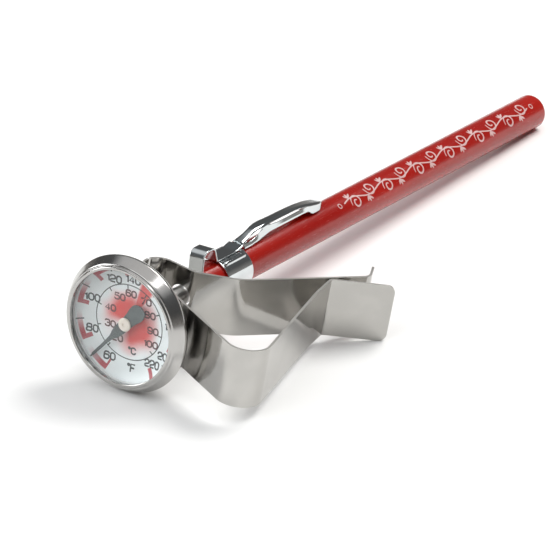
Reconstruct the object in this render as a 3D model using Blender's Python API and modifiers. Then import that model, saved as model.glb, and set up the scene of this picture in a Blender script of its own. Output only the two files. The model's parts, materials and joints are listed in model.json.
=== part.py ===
"""Pocket dial thermometer for steaming milk or checking a mash, lying on a table.

The stem runs along +Y from the dial head. A bent spring-steel pan clip slides on the stem, and a
plastic sheath with a pocket clip is pushed over the stem behind it. Everything is modelled in the
stem frame (origin at the centre of the bezel's front edge, +Y along the stem, +Z up) and hangs on
one empty that lays the thermometer down on its bezel, its sheath tip and one corner of the clip.
"""
import math

import bmesh
import bpy
from mathutils import Vector

MM = 0.001
NAME = "dial_thermometer"
GAP = 0.3                       # between pieces that touch on the real object

# Dial head
BEZEL_R = 13.75
BEZEL_WIDEST = 2.6              # depth at which the bezel is widest
BEZEL_DEPTH = 3.5
BEZEL_WALL = 0.3
OPENING_R = 11.4                # inside edge of the bezel's lip
CUP_R = 12.8                    # at the front; the cup narrows towards its back like a bowl
CUP_FRONT = 2.1
CUP_BACK = 6.0
CUP_WALL = 0.5
CUP_BOSS_R = 5.6                # raised ring round the stem on the cup's back
CUP_BOSS_BACK = 7.6
CRYSTAL_R = 12.15
CRYSTAL_FRONT = 0.95
CRYSTAL_BACK = 1.5
DIAL_R = 11.95
DIAL_FLAT_R = 8.5               # the dial is flat to here, then curves up to its rim
DIAL_FRONT = 3.7
DIAL_RIM_FRONT = 2.4
DIAL_THICK = 0.35
POINTER_FRONT = 2.35
POINTER_THICK = 0.25
POINTER_TIP_R = 11.2
POINTER_TAIL_R = 3.9            # centre of the counterweight's round end
POINTER_TAIL_HALF = 1.7
POINTER_ANGLE = math.radians(222.6)   # clockwise from the top of the dial: 70 degrees Fahrenheit

# Stem and what it holds
STEM_R = 1.9
STEM_BORE_R = 1.55
STEM_FRONT = 4.6
STEM_END = CUP_BACK + 127.0     # a five inch stem
NUT_ACROSS_FLATS = 7.6
NUT_FRONT = 7.9
NUT_BACK = 9.2
SPINDLE_R = 0.45
SPINDLE_END = 90.0
HELIX_START = 92.0
HELIX_END = 126.0
HELIX_R = 0.95
HELIX_WIRE_R = 0.22
HELIX_TURNS = 9

# Pan clip: a strip bent in the plane across the stem (x to the side, y along the stem)
STRIP_WIDTH = 12.2
STRIP_THICK = 0.5
CLIP_HOLE_R = 2.3
CLOSED_END = (-3.4, 17.05)      # centre of the closed end, and the far leg's spring line
CLOSED_END_R = 3.45
SPLIT_ANGLE = math.radians(168.0)     # on the closed end's arc, where the far leg ends
SPLIT_HALF = math.radians(4.2)
NEAR_LEG_ANGLE = math.radians(-22.8)
NOSE_X = 30.8                   # where the near leg and the return would meet
NOSE_R = 4.6
PINCH = (21.0, 40.1)            # where the return bends into the tab, against the far leg
TAB_END = (30.9, 48.2)
TAB_REST = (30.0, 47.1)         # place on the tab's edge that touches the table
TAB_CORNER_R = 1.6
TIP_CORNER_R = 0.8              # the far leg's tip

# Sheath and pocket clip
SHEATH_R = 3.68
SHEATH_BORE_R = 2.3
SHEATH_FRONT = 25.9
SHEATH_END = 152.7
SHEATH_TIP_R = 1.4
COLLAR_R = 4.22
COLLAR_FRONT = 31.0
COLLAR_BACK = 39.4
POCKET_STRIP_WIDTH = 3.4
POCKET_STRIP_THICK = 0.4
ARM_PIVOT = (39.6, 4.8)         # y and z of the spring line at the arm's root
ARM_END = 68.8

ROUND_STEPS = 64
SMALL_STEPS = 24
ARC_STEP = math.radians(12.0)
SIDE_VIEW = (math.pi / 2, 0, math.pi / 2)   # turns an own XY plane into the stem's YZ plane

LAY_ANGLE = math.asin((BEZEL_R - SHEATH_R) / (SHEATH_END - SHEATH_TIP_R - BEZEL_WIDEST))


def clip_roll():
    """Turn of the pan clip about the stem that puts the tab's lower edge on the table."""
    x, y = TAB_REST
    drop = (BEZEL_R - (y - BEZEL_WIDEST) * math.sin(LAY_ANGLE)) / math.cos(LAY_ANGLE)
    half = STRIP_WIDTH / 2
    return math.asin(drop / math.hypot(x, half)) - math.atan2(half, x)


def clear_scene():
    for obj in list(bpy.data.objects):
        bpy.data.objects.remove(obj, do_unlink=True)


def collection(name):
    found = bpy.data.collections.get(name) or bpy.data.collections.new(name)
    if name not in bpy.context.scene.collection.children:
        bpy.context.scene.collection.children.link(found)
    return found


def material(name, color, roughness, metallic=0.0):
    mat = bpy.data.materials.new(name)
    mat.use_nodes = True
    shader = mat.node_tree.nodes["Principled BSDF"]
    shader.inputs["Base Color"].default_value = (*color, 1.0)
    shader.inputs["Roughness"].default_value = roughness
    shader.inputs["Metallic"].default_value = metallic
    mat.diffuse_color = (*color, 1.0)
    return mat


STEEL = (0.62, 0.60, 0.57)
DARK_STEEL = (0.35, 0.35, 0.35)
BRASS = (0.72, 0.55, 0.28)
COLORS = {
    "bezel_ring": (STEEL, 0.15, 1.0),
    "case_cup": (STEEL, 0.22, 1.0),
    "crystal": ((0.85, 0.90, 0.92), 0.05, 0.0),
    "crystal_gasket": ((0.75, 0.75, 0.74), 0.6, 0.0),
    "dial_spacer": ((0.80, 0.82, 0.83), 0.4, 0.0),
    "dial_plate": ((0.82, 0.86, 0.89), 0.5, 0.0),
    "pointer": ((0.11, 0.16, 0.16), 0.45, 0.0),
    "pointer_hub": ((0.80, 0.74, 0.66), 0.35, 0.3),
    "spindle": (DARK_STEEL, 0.3, 1.0),
    "upper_guide_bush": (BRASS, 0.35, 1.0),
    "lower_guide_bush": (BRASS, 0.35, 1.0),
    "bimetal_helix": (DARK_STEEL, 0.35, 1.0),
    "helix_anchor": (BRASS, 0.35, 1.0),
    "stem_tube": (STEEL, 0.25, 1.0),
    "stem_flange": (STEEL, 0.3, 1.0),
    "spring_washer": (DARK_STEEL, 0.3, 1.0),
    "stem_seal": ((0.03, 0.03, 0.03), 0.7, 0.0),
    "calibration_nut": (STEEL, 0.25, 1.0),
    "pan_clip_strip": (STEEL, 0.2, 1.0),
    "pan_clip_far_leg": (STEEL, 0.2, 1.0),
    "sheath_tube": ((0.38, 0.012, 0.008), 0.25, 0.0),
    "pocket_clip_collar": ((0.75, 0.77, 0.78), 0.08, 1.0),
    "pocket_clip_arm": ((0.75, 0.77, 0.78), 0.08, 1.0),
}


def empty(name, parent, location=(0, 0, 0), rotation=(0, 0, 0)):
    """An empty, placed in its parent's frame; location in millimetres."""
    obj = bpy.data.objects.new(name, None)
    obj.empty_display_size = 4 * MM
    obj.parent = parent
    obj.location = Vector(location) * MM
    obj.rotation_euler = rotation
    collection(NAME).objects.link(obj)
    return obj


def add_object(name, data, parent, location=(0, 0, 0), rotation=(0, 0, 0)):
    """A sub-part from mesh or curve data, placed in its parent's frame."""
    obj = bpy.data.objects.new(name, data)
    obj.parent = parent
    obj.location = Vector(location) * MM
    obj.rotation_euler = rotation
    data.materials.append(material(name, *COLORS[name]))
    collection(NAME).objects.link(obj)
    return obj


def add_cutter(name, mesh, parent, location=(0, 0, 0), rotation=(0, 0, 0)):
    """A helper that cuts or joins another piece and isn't part of the object."""
    obj = bpy.data.objects.new(name, mesh)
    obj.parent = parent
    obj.location = Vector(location) * MM
    obj.rotation_euler = rotation
    obj.hide_render = True
    obj.display_type = "WIRE"
    collection(NAME + "_cutters").objects.link(obj)
    return obj


def cutter(name, bm, parent, location=(0, 0, 0), rotation=(0, 0, 0)):
    mesh = bpy.data.meshes.new(name)
    bm.to_mesh(mesh)
    bm.free()
    return add_cutter(name, mesh, parent, location, rotation)


def boolean(obj, operation, other):
    mod = obj.modifiers.new(other.name, "BOOLEAN")
    mod.operation = operation
    mod.solver = "EXACT"
    mod.object = other


def smooth(obj, angle=math.radians(35)):
    obj.data.shade_smooth()
    obj.data.set_sharp_from_angle(angle=angle)


# Outlines -------------------------------------------------------------------------------------

def arc(center, radius, start, end):
    """Points on an arc from angle start to angle end, both included."""
    count = max(2, math.ceil(abs(end - start) / ARC_STEP))
    angles = [start + (end - start) * i / count for i in range(count + 1)]
    return [(center[0] + radius * math.cos(a), center[1] + radius * math.sin(a)) for a in angles]


def rounded_path(corners):
    """Points of a path through (x, y, radius) corners, each corner turned on its own radius."""
    points = [corners[0][:2]]
    for before, corner, after in zip(corners, corners[1:], corners[2:]):
        here = Vector(corner[:2])
        incoming = (here - Vector(before[:2])).normalized()
        outgoing = (Vector(after[:2]) - here).normalized()
        turn = incoming.angle_signed(outgoing)
        radius = corner[2]
        start = here - incoming * radius * math.tan(abs(turn) / 2)
        left = -math.copysign(1.0, turn)
        normal = Vector((-incoming.y, incoming.x)) * left
        center = start + normal * radius
        first = math.atan2(-normal.y, -normal.x)
        points += arc(center, radius, first, first - turn)
    points.append(corners[-1][:2])
    return points


# Kinds of pieces ------------------------------------------------------------------------------

def turned(name, profile, parent, steps=ROUND_STEPS, closed=True):
    """A turned piece round the stem's axis from (radius, y) points, front to back outside."""
    bm = bmesh.new()
    verts = [bm.verts.new((r * MM, 0, -y * MM)) for r, y in profile]
    for a, b in zip(verts, verts[1:]):
        bm.edges.new((a, b))
    if closed:
        bm.edges.new((verts[-1], verts[0]))
    mesh = bpy.data.meshes.new(name)
    bm.to_mesh(mesh)
    bm.free()
    obj = add_object(name, mesh, parent, rotation=(math.pi / 2, 0, 0))
    screw = obj.modifiers.new("turn", "SCREW")
    screw.axis = "Z"
    screw.steps = steps
    screw.render_steps = steps
    screw.use_merge_vertices = True
    screw.merge_threshold = 0.00001
    screw.use_smooth_shade = True
    return obj


def ring(name, inner, outer, front, back, parent, steps=ROUND_STEPS):
    """A plain ring or washer round the stem's axis."""
    return turned(name, [(outer, front), (outer, back), (inner, back), (inner, front)],
                  parent, steps)


def rod(name, radius, front, back, parent, steps=SMALL_STEPS):
    """A solid round rod on the stem's axis with slightly broken edges."""
    edge = min(0.1, radius / 4)
    profile = [(0, front), (radius - edge, front), (radius, front + edge),
               (radius, back - edge), (radius - edge, back), (0, back)]
    return turned(name, profile, parent, steps, closed=False)


def plate(name, outlines, thickness, parent, location=(0, 0, 0), rotation=(0, 0, 0)):
    """A flat plate from an outline and its holes, each a closed loop in the plate's own plane."""
    curve = bpy.data.curves.new(name, "CURVE")
    curve.dimensions = "2D"
    curve.fill_mode = "BOTH"
    curve.extrude = thickness / 2 * MM
    for outline in outlines:
        spline = curve.splines.new("POLY")
        spline.points.add(len(outline) - 1)
        for point, (x, y) in zip(spline.points, outline):
            point.co = (x * MM, y * MM, 0, 1)
        spline.use_cyclic_u = True
    return add_object(name, curve, parent, location, rotation)


def strip_mesh(name, path, width, round_end=0.0):
    """Mesh of a path in the XY plane, spread over the width in Z.

    round_end is the corner radius at the path's last point, drawn with extra rows.
    """
    bm = bmesh.new()
    end = Vector(path[-1])
    if round_end:
        back = (Vector(path[-2]) - end).normalized()
        extra = [end + back * round_end * (1 - math.sin(math.radians(angle)))
                 for angle in (0, 15, 30, 45, 60, 75, 90)]
        path = path[:-1] + [tuple(point) for point in extra]
    rows = []
    for point in path:
        short = round_end - (Vector(point) - end).length
        inset = round_end - math.sqrt(round_end ** 2 - short ** 2) if short > 0 else 0.0
        half = (width / 2 - inset) * MM
        x, y = point[0] * MM, point[1] * MM
        rows.append([bm.verts.new((x, y, -half)), bm.verts.new((x, y, half))])
    for (a, b), (c, d) in zip(rows, rows[1:]):
        bm.faces.new((a, c, d, b))
    mesh = bpy.data.meshes.new(name)
    bm.to_mesh(mesh)
    bm.free()
    return mesh


def thicken(obj, thickness):
    shell = obj.modifiers.new("thickness", "SOLIDIFY")
    shell.thickness = thickness * MM
    shell.offset = 0.0
    shell.use_even_offset = True


def strip(name, path, width, thickness, parent, round_end=0.0):
    """A bent strip that lies along a path in its parent's XY plane."""
    obj = add_object(name, strip_mesh(name, path, width, round_end), parent)
    thicken(obj, thickness)
    return obj


def strip_cutter(name, path, width, thickness, parent):
    """A bent strip in the stem's YZ plane, to be joined to another piece."""
    obj = add_cutter(name, strip_mesh(name, path, width), parent, rotation=SIDE_VIEW)
    thicken(obj, thickness)
    return obj


def prism(name, outline, width, parent, is_cutter=False):
    """A side outline in the stem's YZ plane, extruded across the stem's middle."""
    bm = bmesh.new()
    face = bm.faces.new([bm.verts.new((x * MM, y * MM, -width / 2 * MM)) for x, y in outline])
    side = bmesh.ops.extrude_face_region(bm, geom=[face])
    moved = [v for v in side["geom"] if isinstance(v, bmesh.types.BMVert)]
    bmesh.ops.translate(bm, vec=(0, 0, width * MM), verts=moved)
    bmesh.ops.recalc_face_normals(bm, faces=bm.faces)
    mesh = bpy.data.meshes.new(name)
    bm.to_mesh(mesh)
    bm.free()
    make = add_cutter if is_cutter else add_object
    return make(name, mesh, parent, rotation=SIDE_VIEW)


def round_cutter(name, radius, length, parent, location):
    """A round cutter along the stem."""
    bm = bmesh.new()
    bmesh.ops.create_cone(bm, cap_ends=True, segments=SMALL_STEPS, radius1=radius * MM,
                          radius2=radius * MM, depth=length * MM)
    return cutter(name, bm, parent, location, (math.pi / 2, 0, 0))


# Dial head ------------------------------------------------------------------------------------

def make_bezel(head):
    """Rolled ring: a narrow front lip, a steep rounded flank and a skirt that turns inwards."""
    outside = [(OPENING_R, 0.05), (OPENING_R + 0.25, 0), (OPENING_R + 0.55, 0.06),
               (12.4, 0.5), (12.95, 1.2), (13.45, 1.95), (BEZEL_R - 0.04, BEZEL_WIDEST - 0.25),
               (BEZEL_R, BEZEL_WIDEST), (BEZEL_R - 0.06, BEZEL_WIDEST + 0.35),
               (BEZEL_R - 0.18, BEZEL_WIDEST + 0.65), (BEZEL_R - 0.32, BEZEL_DEPTH)]
    inside = [(BEZEL_R - 0.3 - BEZEL_WALL, BEZEL_DEPTH - 0.05),
              (BEZEL_R - 0.15 - BEZEL_WALL, BEZEL_WIDEST + 0.4),
              (BEZEL_R - BEZEL_WALL, BEZEL_WIDEST), (13.15, 2.05), (12.4, 0.95), (12.1, 0.6),
              (OPENING_R, 0.4)]
    smooth(turned("bezel_ring", outside + inside, head), math.radians(50))


def make_cup(head):
    """Deep-drawn cup: a ledge inside carries the dial, and a boss on the back holds the stem."""
    wall = CUP_R - CUP_WALL
    ledge = DIAL_RIM_FRONT + DIAL_THICK + GAP
    floor = CUP_BACK - CUP_WALL
    boss_floor = CUP_BOSS_BACK - CUP_WALL
    boss_wall = CUP_BOSS_R - CUP_WALL
    outside = [(CUP_R, CUP_FRONT), (CUP_R, 3.5), (12.55, 4.2), (12.15, 4.85), (11.5, 5.5),
               (10.7, 5.88), (9.9, CUP_BACK), (CUP_BOSS_R + 0.4, CUP_BACK),
               (CUP_BOSS_R, CUP_BACK + 0.4), (CUP_BOSS_R, CUP_BOSS_BACK - 0.3),
               (CUP_BOSS_R - 0.3, CUP_BOSS_BACK), (STEM_R + GAP, CUP_BOSS_BACK)]
    inside = [(STEM_R + GAP, boss_floor), (boss_wall, boss_floor), (boss_wall, floor),
              (10.3, floor), (11.3, 4.85), (11.7, 4.1), (11.75, ledge), (wall, ledge),
              (wall, CUP_FRONT)]
    smooth(turned("case_cup", outside + inside, head), math.radians(50))


def make_window(head):
    """Crystal under the bezel's lip on its gasket, and the ring between crystal and dial."""
    crystal = [(0, CRYSTAL_FRONT - 0.12), (CRYSTAL_R * 0.6, CRYSTAL_FRONT - 0.08),
               (CRYSTAL_R, CRYSTAL_FRONT), (CRYSTAL_R, CRYSTAL_BACK), (0, CRYSTAL_BACK)]
    smooth(turned("crystal", crystal, head, closed=False))
    ring("crystal_gasket", OPENING_R + 0.15, CRYSTAL_R - 0.15, 0.7, 0.84, head)
    ring("dial_spacer", DIAL_R - 0.35, DIAL_R + 0.1, CRYSTAL_BACK + 0.2, DIAL_RIM_FRONT - 0.2, head)


def dial_front(radius):
    """Depth of the dial's face: flat in the middle, curving up to the rim."""
    rise = max(0.0, (radius - DIAL_FLAT_R) / (DIAL_R - DIAL_FLAT_R))
    return DIAL_FRONT - (DIAL_FRONT - DIAL_RIM_FRONT) * rise ** 2


def make_dial(head):
    radii = [1.0, DIAL_FLAT_R] + [DIAL_FLAT_R + (DIAL_R - DIAL_FLAT_R) * i / 6 for i in range(1, 7)]
    face = [(r, dial_front(r)) for r in radii]
    back = [(r, y + DIAL_THICK) for r, y in reversed(face)]
    smooth(turned("dial_plate", face + back, head))


def make_pointer(pointer):
    """The pointer points along its own +Z; its empty turns it to the temperature shown."""
    tail = arc((0, -POINTER_TAIL_R), POINTER_TAIL_HALF, math.radians(180), math.radians(360))
    side = [(1.3, -1.6), (1.2, 0.8), (0.95, 3.2), (0.42, 5.2), (0.28, POINTER_TIP_R)]
    blade = [(-x, y) for x, y in reversed(side)] + tail + side
    hole = arc((0, 0), SPINDLE_R + 0.1, 0, math.radians(345))
    plate("pointer", [blade, hole], POINTER_THICK, pointer,
          (0, POINTER_FRONT + POINTER_THICK / 2, 0), (math.pi / 2, 0, 0))
    back = POINTER_FRONT - 0.08
    button = [(0, back - 0.4), (0.9, back - 0.36), (1.25, back - 0.2), (1.35, back), (0, back)]
    smooth(turned("pointer_hub", button, pointer, SMALL_STEPS, closed=False))
    rod("spindle", SPINDLE_R, POINTER_FRONT, SPINDLE_END, pointer, 15)


# Stem -----------------------------------------------------------------------------------------

def make_stem(stem):
    tip = 0.9
    inside = [(0, STEM_END - 0.5), (STEM_BORE_R - 0.3, STEM_END - 0.6),
              (STEM_BORE_R, STEM_END - 0.9), (STEM_BORE_R, STEM_FRONT)]
    outside = [(STEM_R, STEM_FRONT), (STEM_R, STEM_END - tip),
               (STEM_R - tip * 0.3, STEM_END - tip * 0.3), (STEM_R - tip, STEM_END), (0, STEM_END)]
    smooth(turned("stem_tube", inside + outside, stem, SMALL_STEPS, closed=False))
    ring("stem_flange", STEM_R + 0.08, 3.9, 4.7, 5.1, stem, 32)
    washer = [(4.2, 5.3), (4.2, 5.5), (STEM_R + 0.6, 5.85), (STEM_R + 0.6, 5.65)]
    turned("spring_washer", washer, stem, 32)
    seal = [(3.0 + 0.35 * math.cos(a), 6.4 + 0.35 * math.sin(a))
            for a in (math.radians(-90 + 45 * i) for i in range(8))]
    smooth(turned("stem_seal", seal, stem, 32), math.radians(60))


def make_stem_inside(stem):
    """Bushes that carry the spindle, and the bimetal helix that turns it."""
    bush_r = STEM_BORE_R - 0.05
    ring("upper_guide_bush", SPINDLE_R + 0.08, bush_r, 5.2, 7.2, stem, SMALL_STEPS)
    ring("lower_guide_bush", SPINDLE_R + 0.08, bush_r, 84.0, 86.0, stem, SMALL_STEPS)
    rod("helix_anchor", bush_r, HELIX_END + 0.6, STEM_END - 1.3, stem)
    curve = bpy.data.curves.new("bimetal_helix", "CURVE")
    curve.dimensions = "3D"
    curve.bevel_depth = HELIX_WIRE_R * MM
    curve.bevel_resolution = 1
    curve.use_fill_caps = True
    count = HELIX_TURNS * 10
    spline = curve.splines.new("POLY")
    spline.points.add(count)
    for i, point in enumerate(spline.points):
        angle = 2 * math.pi * HELIX_TURNS * i / count
        along = HELIX_START + (HELIX_END - HELIX_START) * i / count
        point.co = (HELIX_R * math.cos(angle) * MM, along * MM, HELIX_R * math.sin(angle) * MM, 1)
    add_object("bimetal_helix", curve, stem)


def make_calibration_nut(stem):
    """Hexagon on the stem behind the case: held with a wrench while the head is turned."""
    outer = NUT_ACROSS_FLATS / 2 / math.cos(math.pi / 6)
    bm = bmesh.new()
    bmesh.ops.create_cone(bm, cap_ends=True, segments=6, radius1=outer * MM, radius2=outer * MM,
                          depth=(NUT_BACK - NUT_FRONT) * MM)
    mesh = bpy.data.meshes.new("calibration_nut")
    bm.to_mesh(mesh)
    bm.free()
    middle = (NUT_FRONT + NUT_BACK) / 2
    nut = add_object("calibration_nut", mesh, stem, (0, middle, 0), (math.pi / 2, 0, 0))
    boolean(nut, "DIFFERENCE", round_cutter("nut_bore", STEM_R + 0.08, 10, stem, (0, middle, 0)))


# Pan clip -------------------------------------------------------------------------------------

def make_pan_clip(clip, far_leg):
    """The bent strip in two pieces: the far leg springs open at the closed end."""
    leg_start = SPLIT_ANGLE - SPLIT_HALF
    leg_bend = arc(CLOSED_END, CLOSED_END_R, leg_start, math.pi / 2)
    top = leg_bend[-1]
    leg = leg_bend[:-1] + rounded_path([(*top, 0), (2.2, top[1], 3.0), (9.9, 25.3, 8.0),
                                        (25.3, 47.5, 2.0), (23.2, 51.9, 0)])
    leg_object = strip("pan_clip_far_leg", leg, STRIP_WIDTH, STRIP_THICK, far_leg, TIP_CORNER_R)
    leg_object.location = -far_leg.location

    near_angle = NEAR_LEG_ANGLE - math.pi / 2 + 2 * math.pi
    bend = arc(CLOSED_END, CLOSED_END_R, SPLIT_ANGLE + SPLIT_HALF, near_angle)
    start = bend[-1]
    nose = (NOSE_X, start[1] + (NOSE_X - start[0]) * math.tan(NEAR_LEG_ANGLE), NOSE_R)
    body = bend[:-1] + rounded_path([(*start, 0), nose, (22.2, 33.2, 25.0), (*PINCH, 0.9),
                                     (*TAB_END, 0)])
    body_object = strip("pan_clip_strip", body, STRIP_WIDTH, STRIP_THICK, clip, TAB_CORNER_R)

    hole = round_cutter("stem_hole", CLIP_HOLE_R, 60, clip, (0, 20, 0))
    boolean(leg_object, "DIFFERENCE", hole)
    boolean(body_object, "DIFFERENCE", hole)


# Sheath ---------------------------------------------------------------------------------------

def make_sheath(sheath):
    end = SHEATH_END
    inside = [(0, end - 1.6), (SHEATH_BORE_R, end - 1.6), (SHEATH_BORE_R, SHEATH_FRONT)]
    outside = [(SHEATH_R - 0.15, SHEATH_FRONT), (SHEATH_R, SHEATH_FRONT + 0.15)]
    for degrees in (0, 30, 60, 90):
        a = math.radians(degrees)
        outside.append((SHEATH_R - SHEATH_TIP_R + SHEATH_TIP_R * math.cos(a),
                        end - SHEATH_TIP_R + SHEATH_TIP_R * math.sin(a)))
    outside.append((0, end))
    smooth(turned("sheath_tube", inside + outside, sheath, 32, closed=False))


def make_pocket_clip(sheath, arm):
    """A band round the sheath with a raised loop over its mouth, and the sprung arm."""
    inner = SHEATH_R + 0.14
    band = ring("pocket_clip_collar", inner, COLLAR_R, COLLAR_FRONT, COLLAR_BACK, sheath, 32)
    top = COLLAR_R + 0.04
    loop = rounded_path([(25.3, 2.6, 0), (25.85, 7.35, 1.5), (29.4, 7.35, 1.2), (30.4, top, 0.4),
                         (36.8, top, 5.0), (39.2, top + 0.55, 0)])
    strap = strip_cutter("pocket_clip_strap", loop, POCKET_STRIP_WIDTH, POCKET_STRIP_THICK, sheath)
    boolean(band, "UNION", strap)
    slit = bmesh.new()
    bmesh.ops.create_cube(slit, size=MM)
    bmesh.ops.scale(slit, vec=(2.4, 40, 4), verts=slit.verts)
    boolean(band, "DIFFERENCE", cutter("collar_slit", slit, sheath, (0, 40, -COLLAR_R)))

    side = [(39.9, 3.8), (43.0, 3.85), (46.3, 4.45), (49.5, 4.8), (62.3, 4.85), (63.2, 4.2),
            (64.2, 3.8), (65.3, 3.72), (67.0, 4.0), (ARM_END, 4.75), (66.6, 5.35), (62.5, 6.2),
            (58.0, 6.65), (48.5, 6.7), (45.0, 6.6), (42.6, 5.9), (39.9, 5.15)]
    lowered = [(38.0, 2.0), (66.6, 2.0), (66.6, 4.6), (65.6, 5.0), (62.3, 5.8), (57.9, 6.25),
               (48.5, 6.3), (45.1, 6.2), (42.7, 5.5), (38.0, 4.3)]
    blade = prism("pocket_clip_arm", side, POCKET_STRIP_WIDTH, arm)
    blade.location = -arm.location
    channel = prism("arm_channel", lowered, POCKET_STRIP_WIDTH - 0.8, sheath, is_cutter=True)
    boolean(blade, "DIFFERENCE", channel)


# Whole object ---------------------------------------------------------------------------------

def put_on_origin(root):
    """Move the root so that the whole object stands on z = 0, centred on the origin."""
    depsgraph = bpy.context.evaluated_depsgraph_get()
    points = []
    for obj in collection(NAME).objects:
        if obj.type == "EMPTY":
            continue
        shape = obj.evaluated_get(depsgraph)
        mesh = shape.to_mesh()
        points += [shape.matrix_world @ v.co for v in mesh.vertices]
        shape.to_mesh_clear()
    low = Vector(min(p[i] for p in points) for i in range(3))
    high = Vector(max(p[i] for p in points) for i in range(3))
    root.location -= Vector(((low.x + high.x) / 2, (low.y + high.y) / 2, low.z))


def main():
    clear_scene()
    root = empty("lying_on_table", None, rotation=(-LAY_ANGLE, 0, 0))
    head = empty("head", root)
    stem = empty("stem", root)
    pointer = empty("pointer_axis", stem, rotation=(0, POINTER_ANGLE, 0))
    clip = empty("pan_clip", root, rotation=(0, clip_roll(), 0))
    far_leg = empty("far_leg_spring_line", clip, (*CLOSED_END, 0))
    sheath = empty("sheath", root)
    arm = empty("arm_spring_line", sheath, (0, *ARM_PIVOT))

    make_bezel(head)
    make_cup(head)
    make_window(head)
    make_dial(head)
    make_pointer(pointer)
    make_stem(stem)
    make_stem_inside(stem)
    make_calibration_nut(stem)
    make_pan_clip(clip, far_leg)
    make_sheath(sheath)
    make_pocket_clip(sheath, arm)
    put_on_origin(root)


main()
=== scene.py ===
"""Looks for the dial thermometer: detailed pieces, materials, floor, lights and camera.

Shapes are drawn in millimetres in the stem's own space: x to the side, y along the stem from the
bezel's front edge, z up. Angles on the dial run clockwise from its top, seen from the front.
"""

import json
import math

import bmesh
import bpy
from mathutils import Matrix, Vector


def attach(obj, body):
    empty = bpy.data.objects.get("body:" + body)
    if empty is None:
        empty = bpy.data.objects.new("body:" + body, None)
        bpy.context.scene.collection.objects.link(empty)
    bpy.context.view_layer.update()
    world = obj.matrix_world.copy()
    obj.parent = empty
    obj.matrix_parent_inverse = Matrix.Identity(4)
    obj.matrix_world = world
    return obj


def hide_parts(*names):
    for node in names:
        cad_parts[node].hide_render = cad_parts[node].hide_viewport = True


MM = 0.001

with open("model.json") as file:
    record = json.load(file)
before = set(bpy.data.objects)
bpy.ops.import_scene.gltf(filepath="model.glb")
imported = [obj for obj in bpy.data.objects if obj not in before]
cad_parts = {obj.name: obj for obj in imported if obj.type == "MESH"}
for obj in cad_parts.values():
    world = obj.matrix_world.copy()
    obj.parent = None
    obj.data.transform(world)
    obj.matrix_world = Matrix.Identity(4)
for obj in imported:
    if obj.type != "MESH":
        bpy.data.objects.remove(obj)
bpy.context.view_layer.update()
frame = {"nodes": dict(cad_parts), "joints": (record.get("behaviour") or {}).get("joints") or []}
JOINTS = {joint["name"]: joint for joint in frame["joints"]}


# Spaces ---------------------------------------------------------------------------------------

def space(origin, x_axis, y_axis):
    """Matrix of a space from its origin, its y axis and roughly its x axis."""
    y = Vector(y_axis).normalized()
    z = Vector(x_axis).cross(y).normalized()
    matrix = Matrix((y.cross(z), y, z)).transposed().to_4x4()
    matrix.translation = Vector(origin)
    return matrix


STEM_JOINT = JOINTS["calibration_turn"]
STEM_AXIS = Vector(STEM_JOINT["axis"]).normalized()
STEM = space(STEM_JOINT["pos_m"], (1, 0, 0), STEM_AXIS)
CLIP = space(STEM_JOINT["pos_m"], STEM_AXIS.cross(Vector(JOINTS["far_leg_flex"]["axis"])),
             STEM_AXIS)
POINTER_ANGLE = 222.6
POINTER = STEM @ Matrix.Rotation(math.radians(POINTER_ANGLE), 4, "Y")
# Own x runs along the stem, own y up and own z to the side
SIDE = STEM @ Matrix(((0, 0, 1, 0), (1, 0, 0, 0), (0, 1, 0, 0), (0, 0, 0, 1)))


# Outlines -------------------------------------------------------------------------------------

def arc(center, radius, start, end, step=4.0):
    """Points on an arc from angle start to angle end in radians, both included."""
    count = max(2, math.ceil(abs(math.degrees(end - start)) / step))
    angles = [start + (end - start) * i / count for i in range(count + 1)]
    return [(center[0] + radius * math.cos(a), center[1] + radius * math.sin(a)) for a in angles]


def rounded_path(corners, step=4.0):
    """Points of a path through (x, y, radius) corners, each corner turned on its own radius."""
    points = [corners[0][:2]]
    for before, corner, after in zip(corners, corners[1:], corners[2:]):
        here = Vector(corner[:2])
        incoming = (here - Vector(before[:2])).normalized()
        outgoing = (Vector(after[:2]) - here).normalized()
        turn = incoming.angle_signed(outgoing)
        radius = corner[2]
        if radius <= 0 or abs(turn) < 1e-4:
            points.append(corner[:2])
            continue
        start = here - incoming * radius * math.tan(abs(turn) / 2)
        normal = Vector((-incoming.y, incoming.x)) * -math.copysign(1.0, turn)
        first = math.atan2(-normal.y, -normal.x)
        points += arc(start + normal * radius, radius, first, first - turn, step)
    points.append(corners[-1][:2])
    return points


def rounded_loop(corners, step=15.0):
    """The closed version of rounded_path."""
    middle = tuple((a + b) / 2 for a, b in zip(corners[-1][:2], corners[0][:2]))
    return rounded_path([(*middle, 0), *corners, (*middle, 0)], step)[:-1]


def spline(points, per=5):
    """A smooth curve through the points."""
    ends = [points[0], *points, points[-1]]
    curve = []
    for a, b, c, d in zip(ends, ends[1:], ends[2:], ends[3:]):
        a, b, c, d = (Vector(p) for p in (a, b, c, d))
        for i in range(per):
            t = i / per
            curve.append(tuple(0.5 * (2 * b + (c - a) * t + (2 * a - 5 * b + 4 * c - d) * t * t
                                      + (3 * b - a - 3 * c + d) * t ** 3)))
    return curve + [tuple(points[-1])]


def resample(points, count):
    """The closed loop with count evenly spaced points."""
    loop = [Vector(p) for p in points] + [Vector(points[0])]
    lengths = [0.0]
    for a, b in zip(loop, loop[1:]):
        lengths.append(lengths[-1] + (b - a).length)
    result, k = [], 0
    for i in range(count):
        goal = lengths[-1] * i / count
        while lengths[k + 1] < goal:
            k += 1
        span = max(lengths[k + 1] - lengths[k], 1e-9)
        result.append(tuple(loop[k].lerp(loop[k + 1], (goal - lengths[k]) / span)))
    return result


# Kinds of pieces ------------------------------------------------------------------------------

SHARP_ANGLE = 35.0
INK_THICK = 0.01
DRILL_LENGTH = 60


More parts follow.
